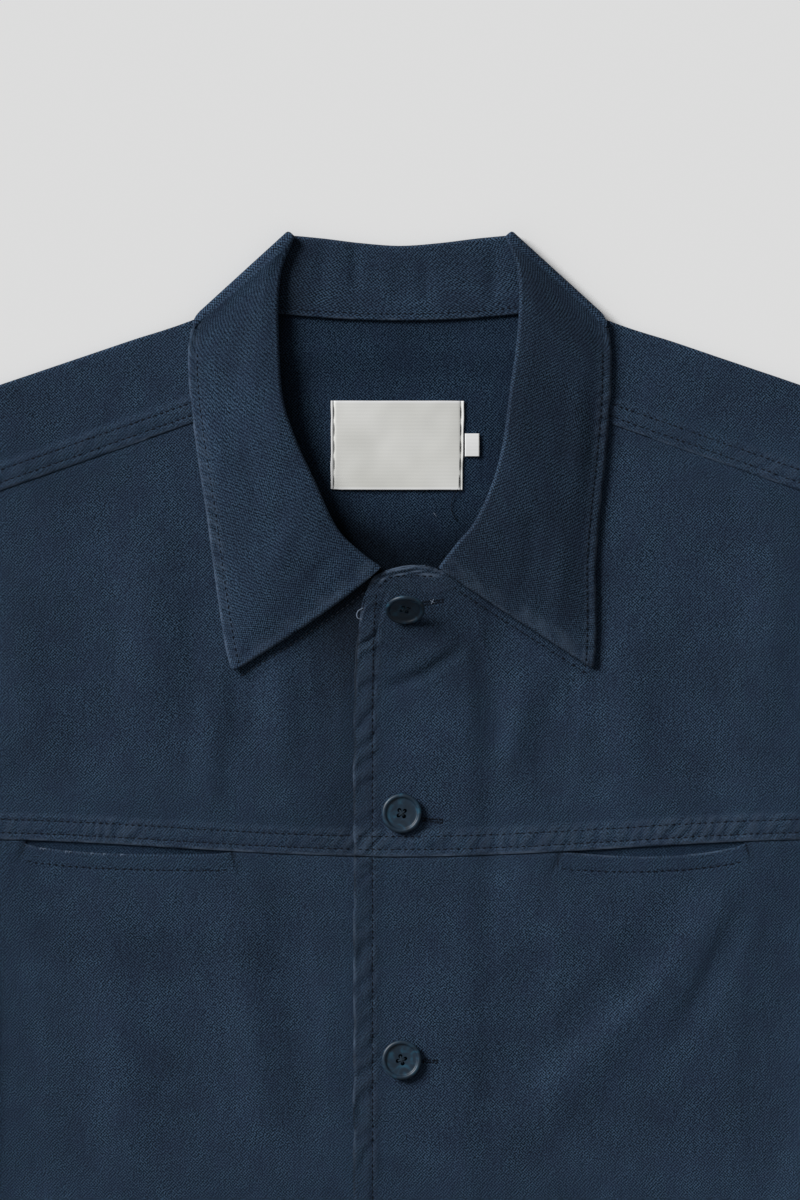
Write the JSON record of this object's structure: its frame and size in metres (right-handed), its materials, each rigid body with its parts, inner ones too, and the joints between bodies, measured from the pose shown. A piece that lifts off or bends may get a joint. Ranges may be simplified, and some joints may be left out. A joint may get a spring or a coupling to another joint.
{
  "type": "chore jacket",
  "caption": "Navy cotton-twill chore jacket, buttoned and laid flat, with a pointed collar, forward yokes, a chest seam with in-seam pockets, and long sleeves.",
  "frame": {"origin": "on the surface that the jacket lies on, under the middle of its outline", "axes": "+X across the jacket to the picture's right, which is the wearer's left sleeve; +Y up from the hem to the collar; +Z up from the surface"},
  "size_m": [1.5876, 0.7399, 0.0199],
  "materials": {
    "twill": "garment-dyed navy cotton twill, matte, with paler worn edges",
    "pocket_cloth": "the same twill, less worn",
    "label_tape": "off-white woven tape, bare",
    "button": "dark navy urea resin, semi-gloss"
  },
  "bodies": {
    "root": {"back": "twill", "front_right_upper": "twill", "front_right_lower": "twill", "front_left_upper": "twill", "front_left_lower": "twill", "pocket_facing_right": "pocket_cloth", "pocket_facing_left": "pocket_cloth", "sleeve_right": "twill", "sleeve_left": "twill", "collar": "twill", "neck_label": "label_tape", "size_tab": "label_tape", "button_1": "button", "button_2": "button", "button_3": "button", "button_4": "button", "button_5": "button"}
  },
  "joints": []
}
